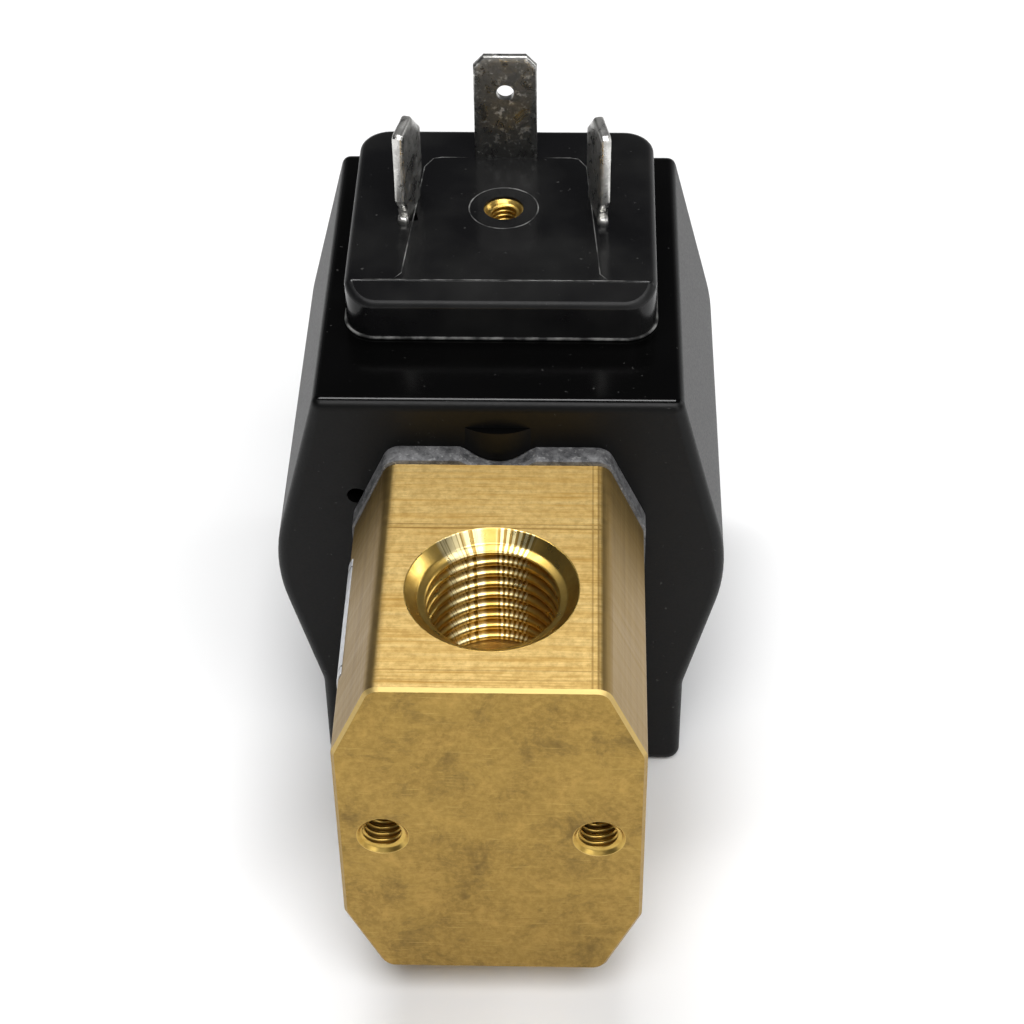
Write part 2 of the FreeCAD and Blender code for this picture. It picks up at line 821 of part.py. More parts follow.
def carrier_pocket():
    """The pocket of the contact carrier, and the clear hole above the insert."""
    body = part_body("carrier_room")
    sketch = sketch_on(body, "carrier_room_outline", "XY_Plane",
                       dims.platform_top - dims.carrier_thickness)
    outline(sketch, mirror_pairs(carrier_corners()))
    pad(body, "carrier_room_pad", sketch, dims.carrier_thickness + 1)
    return body


# ---- fastening of the coil -----------------------------------------------------------------


def make_coil_fastening():
    """Seal, split washer and hexagon nut behind the coil."""
    seal_start = dims.tube_end + dims.collar_length
    seal_end = coil_back() + 0.3
    finished(washer("seal_washer", dims.stud_thread + 0.3, 17.6, seal_start, seal_end),
             "nut_seal")
    washer_end = seal_end + 1.2
    plain = washer("split_ring", dims.stud_thread + 0.4, 14.6, seal_end, washer_end)
    slit = box("washer_slit", (3, seal_end - 1, -0.4), (8, washer_end + 1, 0.4))
    finished(cut("split_cut", plain, [slit]), "spring_washer")
    nut_end = washer_end + 6.5
    hexagon = doc.addObject("Part::Prism", "nut_hexagon")
    hexagon.Polygon = 6
    bind(hexagon, Circumradius=as_size(7.51), Height=nut_end - washer_end)
    place(hexagon, (0, washer_end, 0), FROM_Z_TO["Y"])
    shell = cone("nut_chamfer", 21, 14, washer_end, nut_end)
    bore = cylinder("nut_bore", dims.stud_thread, washer_end - 1, nut_end + 1)
    finished(cut("nut_cut", common("nut_solid", hexagon, shell), [bore]), "coil_nut")


# ---- assembly ------------------------------------------------------------------------------


def build():
    make_valve_body()
    make_nameplate()
    make_gasket()
    make_tube()
    make_tube_seal()
    make_fixed_core()
    make_shading_ring()
    make_plunger()
    make_plunger_seal()
    make_guide_ring()
    make_spring()
    bobbin = make_bobbin()
    make_winding()
    make_tape()
    yoke = make_yoke()
    bushes = make_bushes()
    left = side_contact("contact_left", -1)
    right = side_contact("contact_right", 1)
    earth = make_earth_contact()
    link = make_earth_link()
    wires = [make_lead_wire("lead_wire_left", -1), make_lead_wire("lead_wire_right", 1)]
    make_carrier([left, right])
    insert = make_insert()
    insert_room = cylinder("insert_room", dims.insert_outer, dims.platform_top - 9.25,
                           dims.platform_top + 1, "Z", (0, dims.contact_row))
    make_coil_housing([bobbin, yoke, left, right, earth, link, insert_room] + bushes + wires)
    make_coil_fastening()


def check_and_write():
    """Stop on any failed object, then write every sub-part as its own STEP file."""
    doc.recompute()
    failed = [item.Name for item in doc.Objects
              if "Invalid" in item.State or "Error" in item.State]
    if failed:
        raise RuntimeError(f"failed objects: {failed}")
    for item in sub_parts:
        if item.Shape.isNull() or not item.Shape.isValid():
            raise RuntimeError(f"bad shape: {item.Label}")
    os.makedirs("parts", exist_ok=True)
    for item in sub_parts:
        item.Shape.exportStep(f"parts/{item.Label}.step")
        limits = item.Shape.BoundBox
        print(f"{item.Label:20s} solids {len(item.Shape.Solids)} volume {item.Shape.Volume:9.1f}"
              f" y {limits.YMin:6.2f} {limits.YMax:6.2f} z {limits.ZMin:6.2f} {limits.ZMax:6.2f}")


build()
check_and_write()
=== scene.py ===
# %% [markdown]
# # A direct-acting solenoid valve
# The valve is a bar of brass with two pipe ports, a black moulded coil clamped on its guide
# tube, and three tinned blades for a cable plug. The solid model brings every part in at its
# true place, so this notebook only adds what a solid model leaves out: cut threads, witness
# lines of the mould, softly rounded blades, a wound spring, and a finish for each surface.

# %% Load the solid model
import json
import math

import bmesh
import bpy
import numpy as np
from mathutils import Matrix, Vector


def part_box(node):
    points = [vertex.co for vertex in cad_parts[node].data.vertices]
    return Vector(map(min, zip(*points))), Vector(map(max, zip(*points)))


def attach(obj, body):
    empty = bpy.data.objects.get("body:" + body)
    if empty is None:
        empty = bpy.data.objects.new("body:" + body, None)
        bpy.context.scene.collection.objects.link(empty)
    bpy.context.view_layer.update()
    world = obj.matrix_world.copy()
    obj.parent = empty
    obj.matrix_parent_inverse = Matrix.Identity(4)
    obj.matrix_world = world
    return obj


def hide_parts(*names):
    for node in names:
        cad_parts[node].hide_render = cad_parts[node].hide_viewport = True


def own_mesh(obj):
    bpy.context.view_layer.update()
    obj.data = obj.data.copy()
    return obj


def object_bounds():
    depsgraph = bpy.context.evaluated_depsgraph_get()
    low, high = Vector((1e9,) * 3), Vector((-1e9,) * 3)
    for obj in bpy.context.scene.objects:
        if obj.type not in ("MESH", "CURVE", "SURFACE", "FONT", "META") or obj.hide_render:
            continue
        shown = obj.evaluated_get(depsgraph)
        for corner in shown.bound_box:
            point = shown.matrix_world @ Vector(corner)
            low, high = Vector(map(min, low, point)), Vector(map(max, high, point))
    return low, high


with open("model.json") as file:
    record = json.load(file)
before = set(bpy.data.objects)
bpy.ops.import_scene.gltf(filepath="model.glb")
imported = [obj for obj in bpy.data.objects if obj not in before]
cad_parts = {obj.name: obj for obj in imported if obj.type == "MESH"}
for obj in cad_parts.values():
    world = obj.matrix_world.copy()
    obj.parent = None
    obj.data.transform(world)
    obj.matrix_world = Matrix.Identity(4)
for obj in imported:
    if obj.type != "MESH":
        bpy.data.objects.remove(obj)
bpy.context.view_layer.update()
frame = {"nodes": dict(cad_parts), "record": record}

MM = 0.001
nodes = frame["nodes"]

# %% [markdown]
# ## Helpers
# Every new piece below is a grid of points: rows run along the piece and columns run round it.
# One function turns such a grid into a closed mesh, so each piece only has to state its formula.
# Modifiers on a plain shape could do the same, but a formula says where every point lies.

# %% A mesh from a grid of points


def grid_piece(name, points, sharp=180):
    """points[i, j] is row i, column j, in metres; both directions wrap round to close the skin.
    An edge stays crisp where its faces meet at more than sharp degrees."""
    rows, columns = points.shape[:2]
    i, j = np.meshgrid(np.arange(rows), np.arange(columns), indexing="ij")
    down, right = (i + 1) % rows, (j + 1) % columns
    quads = np.stack([i * columns + j, i * columns + right, down * columns + right,
                      down * columns + j], axis=-1).reshape(-1, 4)
    mesh = bpy.data.meshes.new(name)
    mesh.from_pydata(points.reshape(-1, 3).tolist(), [], quads.tolist())
    mesh.validate()
    piece = bpy.data.objects.new(name, mesh)
    bpy.context.scene.collection.objects.link(piece)
    tidy_skin(mesh)
    mesh.shade_smooth()
    mesh.set_sharp_from_angle(angle=math.radians(sharp))
    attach(piece, "valve")
    print(f"{name}: {len(mesh.vertices)} points, {len(mesh.polygons)} faces")
    return piece


# %% Merge doubled points and turn the faces outwards


def tidy_skin(mesh):
    """Poles arrive as rings of equal points: merge them, then make all normals point out."""
    work = bmesh.new()
    work.from_mesh(mesh)
    bmesh.ops.remove_doubles(work, verts=work.verts, dist=1e-7)
    bmesh.ops.dissolve_degenerate(work, edges=work.edges, dist=1e-8)
    bmesh.ops.recalc_face_normals(work, faces=work.faces)
    work.to_mesh(mesh)
    work.free()


# %% [markdown]
# ## Finishes
# A finish is a tree of shader nodes. Each starts from Object coordinates in metres, so that a
# pattern keeps its real size, and ends in one principled shader. A few short functions keep the
# trees readable: one adds any node, one holds a value between two levels, one mixes colours.

# %% Colours and one small function that adds a shader node


def srgb(code):
    """Linear colour from a hex code: each channel c becomes ((c + 0.055) / 1.055) ^ 2.4."""
    channels = np.array([int(code[i:i + 2], 16) for i in (1, 3, 5)]) / 255
    linear = np.where(channels <= 0.04045, channels / 12.92, ((channels + 0.055) / 1.055) ** 2.4)
    return (*linear.tolist(), 1.0)


def per_mm(size):
    """Pattern scale on coordinates in metres, so that one cell of the pattern is size mm."""
    return 1 / (size * MM)


def add(tree, kind, feeds=None, **settings):
    """Add a node; settings are its options and feeds its inputs, each a socket or a value."""
    node = tree.nodes.new("ShaderNode" + kind)
    for name, value in settings.items():
        setattr(node, name, value)
    for name, value in (feeds or {}).items():
        if isinstance(value, bpy.types.NodeSocket):
            tree.links.new(value, node.inputs[name])
        else:
            node.inputs[name].default_value = value
    return node


def new_finish(name):
    """An empty material with its tree and a place in metres for patterns to read."""
    finish = bpy.data.materials.new(name)
    finish.use_nodes = True
    tree = finish.node_tree
    tree.nodes.clear()
    place = add(tree, "TexCoord").outputs["Object"]
    return finish, tree, place


def surface(tree, feeds):
    """End a material in one principled shader."""
    shader = add(tree, "BsdfPrincipled", feeds)
    add(tree, "OutputMaterial", {"Surface": shader.outputs[0]})


def ramp(tree, value, low, high, start=0.0, end=1.0):
    """Value from start to end as the input goes from low to high, held outside."""
    feeds = {"Value": value, "From Min": low, "From Max": high, "To Min": start, "To Max": end}
    return add(tree, "MapRange", feeds, clamp=True).outputs["Result"]


def window(tree, value, low, high):
    """1 between low and high, 0 outside, with soft ends."""
    soft = 0.03
    rise = ramp(tree, value, low - soft, low + soft)
    fall = ramp(tree, value, high - soft, high + soft, 1.0, 0.0)
    return add(tree, "Math", {0: rise, 1: fall}, operation="MULTIPLY").outputs[0]


def blend(tree, amount, first, second):
    """Mix two colours."""
    feeds = {0: amount, 6: first, 7: second}
    return add(tree, "Mix", feeds, data_type="RGBA").outputs[2]


def dress(finish, *names):
    """Give CAD nodes their finish."""
    for name in names:
        nodes[name].data.materials.clear()
        nodes[name].data.materials.append(finish)
    print(f"{finish.name}: {', '.join(names)}")


# %% [markdown]
# ## Brass bar
# The bar is free-machining brass, CZ121. It was sawn off drawn octagonal stock, its two port
# faces were skimmed with a cutter that left fine lines across the bar, and the sawn end was
# only tumbled, so it stays mottled and a little brown. One material tells the faces apart by
# the way they face. Three materials on three sets of faces would need the mesh to be split,
# and one material that reads the normal leaves it whole.

# %% Scored lines


def score_lines(tree, along, places):
    """1 on thin lines at the given places in mm along an axis, 0 elsewhere."""
    total = None
    for number, place in enumerate(places):
        away = add(tree, "Math", {0: along, 1: place * MM}, operation="SUBTRACT").outputs[0]
        away = add(tree, "Math", {0: away}, operation="ABSOLUTE").outputs[0]
        line = ramp(tree, away, 0.04 * MM, 0.12 * MM, 1.0 - 0.2 * number, 0.0)
        if total is not None:
            line = add(tree, "Math", {0: total, 1: line}, operation="MAXIMUM").outputs[0]
        total = line
    return total


# %% Brass of the bar


def brass_bar():
    """Skimmed on the port faces, sawn on the end, drawn on the sides, painted highlight on the upward
    edges.
    """
    finish, tree, place = new_finish("free_machining_brass")
    facing = add(tree, "SeparateXYZ", {0: add(tree, "TexCoord").outputs["Normal"]}).outputs
    spot = add(tree, "SeparateXYZ", {0: place}).outputs
    upward = add(tree, "Math", {0: facing["Z"]}, operation="ABSOLUTE").outputs[0]
    port_face = ramp(tree, upward, 0.93, 0.985)
    sawn_face = ramp(tree, facing["Y"], -0.9, -0.97)

    # Uneven oxide in patches of about 6 mm, grain of 0.7 mm, and cutter lines 0.5 mm apart.
    cloud = add(tree, "TexNoise", {"Vector": place, "Scale": per_mm(6), "Detail": 6.0,
                                   "Roughness": 0.62}).outputs[0]
    grain = add(tree, "TexNoise", {"Vector": place, "Scale": per_mm(0.7), "Detail": 5.0,
                                   "Roughness": 0.7}).outputs[0]
    stretched = add(tree, "Mapping", {"Vector": place, "Scale": (0.03, 1.0, 0.03)}).outputs[0]
    lines = add(tree, "TexNoise", {"Vector": stretched, "Scale": per_mm(0.55), "Detail": 4.0,
                                   "Roughness": 0.75}).outputs[0]
    drawn = add(tree, "Mapping", {"Vector": place, "Scale": (1.0, 0.02, 1.0)}).outputs[0]
    draw_lines = add(tree, "TexNoise", {"Vector": drawn, "Scale": per_mm(0.5), "Detail": 3.0,
                                        "Roughness": 0.6}).outputs[0]

    sawn = blend(tree, ramp(tree, cloud, 0.36, 0.66), srgb("#A08344"), srgb("#8C713A"))
    sawn = blend(tree, ramp(tree, grain, 0.42, 0.66, 0.0, 0.6), sawn, srgb("#BD9C56"))
    patch = add(tree, "TexNoise", {"Vector": place, "Scale": per_mm(4.5), "Detail": 7.0,
                                   "Roughness": 0.72, "Distortion": 0.4}).outputs[0]
    sawn = blend(tree, ramp(tree, patch, 0.52, 0.68, 0.0, 0.6), sawn, srgb("#5C4B2C"))
    sawn = blend(tree, ramp(tree, patch, 0.46, 0.34, 0.0, 0.4), sawn, srgb("#C9A45A"))
    skimmed = blend(tree, ramp(tree, lines, 0.35, 0.7), srgb("#F0D18B"), srgb("#B48F4B"))
    skimmed = blend(tree, ramp(tree, grain, 0.4, 0.62, 0.0, 0.45), skimmed, srgb("#9C7B3D"))
    skimmed = blend(tree, ramp(tree, cloud, 0.42, 0.68, 0.0, 0.25), skimmed, srgb("#B58F49"))
    side = blend(tree, ramp(tree, draw_lines, 0.35, 0.7), srgb("#9C8351"), srgb("#8C7243"))
    colour = blend(tree, port_face, side, skimmed)
    colour = blend(tree, sawn_face, colour, sawn)
    # Edges broken by hand face between the end and the sides; a painted highlight, a pale brass
    # colour, lies on them, strongest on the upward ones.
    endward = add(tree, "Math", {0: facing["Y"]}, operation="ABSOLUTE").outputs[0]
    painted_edge_highlight = add(tree, "Math", {0: window(tree, endward, 0.4, 0.88),
                                     1: ramp(tree, facing["Z"], 0.0, 0.6, 0.1, 1.0)},
                      operation="MULTIPLY").outputs[0]
    colour = blend(tree, painted_edge_highlight, colour, srgb("#E6C880"))
    # Fine scuffs on the sawn end run in three directions.
    scuff = None
    for turn, share in ((0.5, 0.25), (-0.9, 0.2), (1.9, 0.2)):
        slanted = add(tree, "Mapping", {"Vector": place, "Rotation": (0, turn, 0),
                                        "Scale": (0.12, 1.0, 1.6)}).outputs[0]
        hair = add(tree, "TexNoise", {"Vector": slanted, "Scale": per_mm(0.5), "Detail": 3.0,
                                      "Roughness": 0.6}).outputs[0]
        hair = ramp(tree, hair, 0.62, 0.72, 0.0, share)
        scuff = hair if scuff is None else add(tree, "Math", {0: scuff, 1: hair}).outputs[0]
    scuffed = add(tree, "Math", {0: scuff, 1: sawn_face}, operation="MULTIPLY").outputs[0]
    colour = blend(tree, scuffed, colour, srgb("#E3C273"))
    # Two passes of the cutter met here and left deeper lines, at these places in mm.
    across_lines = score_lines(tree, spot["Y"], [19.6, 20.1, 2.3, 1.2])
    along_lines = score_lines(tree, spot["X"], [9.2, 8.7])
    groove = add(tree, "Math", {0: across_lines, 1: along_lines}, operation="MAXIMUM").outputs[0]
    scored = add(tree, "Math", {0: groove, 1: port_face}, operation="MULTIPLY").outputs[0]
    colour = blend(tree, ramp(tree, scored, 0.0, 1.0, 0.0, 0.6), colour, srgb("#7A5C2C"))

    rough_skim = ramp(tree, lines, 0.3, 0.75, 0.38, 0.55)
    rough_sawn = ramp(tree, grain, 0.3, 0.7, 0.36, 0.52)
    roughness = add(tree, "Mix", {0: sawn_face, 2: rough_skim, 3: rough_sawn}).outputs[0]
    height = add(tree, "Mix", {0: port_face, 2: draw_lines, 3: lines}).outputs[0]
    height = add(tree, "Mix", {0: sawn_face, 2: height, 3: grain}).outputs[0]
    relief = add(tree, "Bump", {"Height": height, "Strength": 0.35, "Distance": 0.03 * MM})
    surface(tree, {"Base Color": colour, "Metallic": 1.0, "Roughness": roughness,
                   "Normal": relief.outputs[0]})
    return finish


dress(brass_bar(), "valve_body")

# %% [markdown]
# ## Threads
# A tapped hole is a helical groove. Its radius depends on where a point lies in one turn of
# the helix: depth along the axis divided by the pitch, less the angle divided by a full turn.
# The mouth is a cone at 45 degrees that cuts the first turns away, as a countersink does. A
# bump could fake this in a material, but the turns show their height at the mouth, so each
# thread is a thin sleeve that sits in the plain bore of the solid model.

# %% Thread sleeve


def thread_form(turn, depth):
    """Height from the crest: half of one minus the cosine of the turn, to the power 1.8, so
    that the root is narrower than the crest, as a worn tap leaves it."""
    return depth * (0.5 - 0.5 * np.cos(2 * math.pi * turn)) ** 1.8


def thread_sleeve(name, mouth, axis, major, minor, mouth_radius, pitch, length, around=180):
    """Radius = the larger of the thread and the mouth cone, at each depth and angle. The cone
    runs in at 45 degrees to the major radius, and then three times as steep to the crests."""
    steps = 24  # rows of points in one turn
    rows = int(length / pitch * steps)
    depth = np.linspace(0, length, rows)[:, None]
    angle = np.linspace(0, 2 * math.pi, around, endpoint=False)[None, :]
    wall = minor + thread_form(depth / pitch - angle / (2 * math.pi), major - minor)
    lip = mouth_radius - major
    cone = np.where(depth < lip, mouth_radius - depth, major - 3 * (depth - lip))
    inner = np.maximum(wall, cone)
    # The outside of the sleeve is buried in the metal behind the thread.
    outer_depth = np.array([length, length, mouth_radius - major + 0.3, 0.05])[:, None]
    outer_radius = np.array([major - 0.2, major + 0.25, major + 0.25, mouth_radius + 0.15])[:, None]
    radius = np.vstack([inner, outer_radius + 0 * angle])
    depths = np.vstack([depth + 0 * angle, outer_depth + 0 * angle])
    axis = np.array(axis, float)
    side = np.cross(axis, [1.0, 0, 0]) if abs(axis[0]) < 0.5 else np.cross(axis, [0, 0, 1.0])
    up = np.cross(axis, side)
    angles = angle + 0 * depths
    points = (np.array(mouth)[None, None, :] - depths[..., None] * axis
              + radius[..., None] * (np.cos(angles)[..., None] * side
                                     + np.sin(angles)[..., None] * up))
    return grid_piece(name, points * MM)


# %% Cut the two ports, the base holes and the insert
record = frame["record"]
mounts = {mount["name"]: mount for mount in record["mounts"]}
low, high = [np.array(corner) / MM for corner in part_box("valve_body")]
port_y = mounts["port_top"]["pos_m"][1] / MM
port_major = mounts["port_top"]["dims"]["r_mm"]
recess = 0.01  # mm that a mouth lies below its face, so that the two don't fight
port_depth = 0.856  # mm, depth of a G 1/4 thread
print(f"ports at y {port_y:.2f} mm, major radius {port_major:.3f} mm")
sleeves = []
for name, level, way in (("port_thread_top", high[2], 1), ("port_thread_bottom", low[2], -1)):
    sleeves.append(thread_sleeve(name, mouth=(0, port_y, level - recess * way), axis=(0, 0, way),
                                 major=port_major, minor=port_major - port_depth,
                                 mouth_radius=7.55, pitch=1.337, length=12.3))
half_spacing = mounts["base_holes"]["dims"]["spacing_x_mm"] / 2
for name, x in (("base_thread_left", -half_spacing), ("base_thread_right", half_spacing)):
    sleeves.append(thread_sleeve(name, mouth=(x, recess, 0), axis=(0, -1, 0), major=2.0,
                                 minor=1.62, mouth_radius=2.3, pitch=0.7, length=7.9, around=96))

# %% [markdown]
# The cut surfaces are brighter than the bar, because the tap and the countersink left fresh
# metal, and oil has darkened it in soft clouds. The tool chattered, which shows as two strips
# of radial marks down the side away from the mounting face. They are a slight bump on the
# sleeve, with a painted highlight on the marks and painted shade between them, because real
# facet geometry this fine would double its mesh for no gain.

# %% Fresh-cut brass


def cut_brass(name, centre, chatter):
    """Brass as a tap leaves it; chatter is the strength of the painted highlight and shade in its two
    strips of radial marks.
    """
    finish, tree, place = new_finish(name)
    local = add(tree, "VectorMath", {0: place, 1: tuple(v * MM for v in centre)},
                operation="SUBTRACT").outputs[0]
    axes = add(tree, "SeparateXYZ", {0: local}).outputs
    around = add(tree, "Math", {0: axes["Y"], 1: axes["X"]}, operation="ARCTAN2").outputs[0]
    uneven = add(tree, "TexNoise", {"W": around, "Scale": 9.0, "Detail": 3.0, "Roughness": 0.8},
                 noise_dimensions="1D").outputs[0]
    phase = add(tree, "Math", {0: around, 1: 82.0}, operation="MULTIPLY").outputs[0]
    regular = add(tree, "Math", {0: phase}, operation="SINE").outputs[0]
    right_strip = window(tree, around, 1.05, 1.53)
    left_strip = window(tree, around, 1.72, 2.3)
    comb = add(tree, "Math", {0: ramp(tree, regular, -0.3, 0.3), 1: right_strip},
               operation="MULTIPLY").outputs[0]
    uneven_chatter = add(tree, "Math", {0: ramp(tree, uneven, 0.36, 0.5), 1: left_strip},
                 operation="MULTIPLY").outputs[0]
    facets_and_painted_glint = add(tree, "Math", {0: comb, 1: uneven_chatter}, operation="MAXIMUM").outputs[0]
    painted_hollow_shade = add(tree, "Math", {0: left_strip, 1: right_strip}, operation="MAXIMUM").outputs[0]
    cloud = add(tree, "TexNoise", {"Vector": place, "Scale": per_mm(1.5), "Detail": 5.0}).outputs[0]
    colour = blend(tree, ramp(tree, cloud, 0.35, 0.7), srgb("#D2B262"), srgb("#B08E45"))
    # Painted shade darkens both strips, and a painted highlight lies on the chatter marks; the bump
    # below gives them their real relief.
    colour = blend(tree, ramp(tree, painted_hollow_shade, 0.0, 1.0, 0.0, 0.7 * chatter), colour, srgb("#74582A"))
    colour = blend(tree, ramp(tree, facets_and_painted_glint, 0.0, 1.0, 0.0, chatter), colour, srgb("#F4E4AE"))
    relief = add(tree, "Bump", {"Height": facets_and_painted_glint, "Strength": 0.12, "Distance": 0.03 * MM})
    roughness = ramp(tree, cloud, 0.3, 0.7, 0.26, 0.38)
    surface(tree, {"Base Color": colour, "Metallic": 1.0, "Roughness": roughness,
                   "Normal": relief.outputs[0]})
    return finish


port_brass = cut_brass("tapped_port_brass", (0, port_y, 0), 0.9)
hole_brass = cut_brass("tapped_hole_brass", (0, 0, 0), 0.1)
for sleeve, finish in zip(sleeves, (port_brass, port_brass, hole_brass, hole_brass)):
    sleeve.data.materials.append(finish)

# %% The screw insert of the plug
insert_low, insert_high = [np.array(corner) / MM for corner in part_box("connector_insert")]
insert_y = (insert_low[1] + insert_high[1]) / 2
insert_thread = thread_sleeve("insert_thread", mouth=(0, insert_y, insert_high[2] - recess),
                              axis=(0, 0, 1), major=1.5, minor=1.2, mouth_radius=1.75,
                              pitch=0.5, length=7.8, around=96)
insert_thread.data.materials.append(hole_brass)
dress(hole_brass, "connector_insert")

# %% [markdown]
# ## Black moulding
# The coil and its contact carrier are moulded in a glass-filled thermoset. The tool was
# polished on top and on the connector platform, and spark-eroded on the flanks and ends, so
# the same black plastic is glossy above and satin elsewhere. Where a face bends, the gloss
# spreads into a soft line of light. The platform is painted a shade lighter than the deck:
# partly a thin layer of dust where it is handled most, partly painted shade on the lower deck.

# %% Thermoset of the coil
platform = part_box("terminal_carrier")[1][2] / MM
platform_rise = 5.15  # mm from the deck of the coil to the platform's flat top
deck = platform - platform_rise
print(f"platform at {platform:.2f} mm, deck of the coil at {deck:.2f} mm")


def black_moulding(name):
    """Roughness by place: satin on upright faces, gloss on flat tops, and between on the bends."""
    finish, tree, place = new_finish(name)
    upward = add(tree, "SeparateXYZ", {0: add(tree, "TexCoord").outputs["Normal"]}).outputs["Z"]
    level = add(tree, "SeparateXYZ", {0: place}).outputs["Z"]
    raised = ramp(tree, level, (deck + 0.1) * MM, (deck + 0.3) * MM)
    spark = add(tree, "TexNoise", {"Vector": place, "Scale": per_mm(0.25), "Detail": 3.0,
                                   "Roughness": 0.6}).outputs[0]
    flow = add(tree, "TexNoise", {"Vector": place, "Scale": per_mm(9), "Detail": 3.0}).outputs[0]
    dust = add(tree, "TexNoise", {"Vector": place, "Scale": per_mm(0.6), "Detail": 2.0}).outputs[0]
    # Painted shade: the deck below the platform is painted blacker than the platform, and the faint
    # lighter layer on the platform is partly dust and partly painted light.
    colour = blend(tree, raised, srgb("#040404"), srgb("#101011"))
    dust_film_and_painted_light = add(tree, "Math", {0: ramp(tree, flow, 0.45, 0.75, 0.0, 0.05), 1: raised},
               operation="MULTIPLY").outputs[0]
    colour = blend(tree, dust_film_and_painted_light, colour, srgb("#6E6E6A"))
    colour = blend(tree, ramp(tree, dust, 0.72, 0.8, 0.0, 0.25), colour, srgb("#6E6E6C"))
    satin = ramp(tree, spark, 0.3, 0.7, 0.42, 0.55)
    bend = ramp(tree, spark, 0.3, 0.7, 0.36, 0.46)
    gloss = ramp(tree, flow, 0.3, 0.75, 0.12, 0.2)
    roughness = add(tree, "Mix", {0: ramp(tree, upward, 0.15, 0.4), 2: satin, 3: bend}).outputs[0]
    raised_wall = add(tree, "Math", {0: ramp(tree, upward, 0.35, 0.15), 1: raised},
                      operation="MULTIPLY").outputs[0]
    polished = add(tree, "Math", {0: ramp(tree, upward, 0.855, 0.88), 1: raised_wall},
                   operation="MAXIMUM").outputs[0]
    roughness = add(tree, "Mix", {0: polished, 2: roughness, 3: gloss})
    relief = add(tree, "Bump", {"Height": spark, "Strength": ramp(tree, upward, 0.3, 0.9, 0.25, 0.03),
                                "Distance": 0.03 * MM})
    surface(tree, {"Base Color": colour, "Roughness": roughness.outputs[0],
                   "Specular IOR Level": 0.2, "Normal": relief.outputs[0]})
    return finish


dress(black_moulding("thermoset_moulding"), "coil_housing", "terminal_carrier")

# %% [markdown]
# ## Tinned blades
# The blades are stamped from brass strip and tinned, so their edges are softly rounded and the
# tin has gone blotchy. A bevel on the solid would do for the edges, but rings give even faces:
# each blade runs from its middle, or its locking hole, out over the front face, round the edge,
# and back over the rear face.

# %% Outline of a blade as a distance in each direction


def reach(corners, centre, angles):
    """Distance from centre to the polygon along each angle: the nearest crossing of the ray."""
    start = np.array(corners, float) - centre
    along = np.roll(start, -1, axis=0) - start
    ray = np.stack([np.cos(angles), np.sin(angles)], axis=-1)[:, None, :]
    cross = ray[..., 0] * along[None, :, 1] - ray[..., 1] * along[None, :, 0]
    cross = np.where(np.abs(cross) < 1e-9, 1e-9, cross)
    distance = (start[None, :, 0] * along[None, :, 1] - start[None, :, 1] * along[None, :, 0]) / cross
    share = (start[None, :, 0] * ray[..., 1] - start[None, :, 1] * ray[..., 0]) / cross
    good = (distance > 0) & (share > -1e-6) & (share < 1 + 1e-6)
    return np.where(good, distance, np.inf).min(axis=1)


def blade(name, corners, centre, thickness, hole, turn, at):
    """Rings of radius hole..reach on the front, a half-round edge, and the same on the back."""
    corner_angles = np.arctan2(*(np.array(corners, float) - centre).T[::-1])
    angles = np.unique(np.concatenate([np.linspace(-math.pi, math.pi, 160, endpoint=False),
                                       corner_angles]))
    edge = 0.3 * thickness
    rim = reach(corners, centre, angles)
    flat = rim - edge
    bend = np.linspace(0, math.pi / 2, 5)[1:]
    half = thickness / 2
    front = [(hole + (flat - hole) * share, -half) for share in np.linspace(0, 1, 6)]
    front += [(flat + edge * np.sin(a), -half + edge * (1 - np.cos(a))) for a in bend]
    rings = front + [(radius, -depth) for radius, depth in front[::-1]]
    radius = np.stack([np.broadcast_to(r, angles.shape) for r, _ in rings])
    depth = np.array([d for _, d in rings])[:, None] + 0 * angles[None, :]
    across = centre[0] + radius * np.cos(angles)
    up = centre[1] + radius * np.sin(angles)
    swing = math.radians(turn)
    x = at[0] + across * math.cos(swing) - depth * math.sin(swing)
    y = at[1] + across * math.sin(swing) + depth * math.cos(swing)
    return grid_piece(name, np.stack([x, y, up], axis=-1) * MM, sharp=40)


# %% Make the three blades
side_low, side_high = [np.array(corner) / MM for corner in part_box("contact_right")]
earth_low, earth_high = [np.array(corner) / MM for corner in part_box("earth_contact")]
root, tip = side_low[2], side_high[2]
half_width = 3.15  # mm, half of the 6.3 mm blade
neck = 2.2         # mm, half of the narrow foot
foot_top = platform + 1.2
shoulder = platform + 2.7
tip_cut = 2.8      # mm, the long bevel on one corner of the tip
tip_break = 0.3    # mm, the small one on the other
side_corners = [
    (-neck, root), (neck, root), (neck, foot_top), (half_width, shoulder - 0.4),
    (half_width, tip - tip_cut), (half_width - tip_cut, tip), (-half_width + tip_break, tip),
    (-half_width, tip - tip_break), (-half_width, shoulder), (-neck, foot_top),
]
blade_x = (side_low[0] + side_high[0]) / 2
blade_y = (side_low[1] + side_high[1]) / 2
toe_in = 12  # degrees that each supply blade turns inwards
middle = np.array([0.0, platform + 5.5])
blades = [blade(name, side_corners, middle, thickness=1.0, hole=0.0, turn=90 + sign * toe_in,
                at=(sign * blade_x, blade_y))
          for name, sign in (("blade_left", -1), ("blade_right", 1))]
earth_half, earth_tip = earth_high[0], earth_high[2]
drop, inset = 1.1, 1.0  # mm, the bevels on the tip of the earth blade
earth_corners = [(-earth_half, root), (earth_half, root), (earth_half, earth_tip - drop),
                 (earth_half - inset, earth_tip), (inset - earth_half, earth_tip),
                 (-earth_half, earth_tip - drop)]
earth_y = (earth_low[1] + earth_high[1]) / 2
earth_hole = np.array([0.0, earth_tip - 4.0])
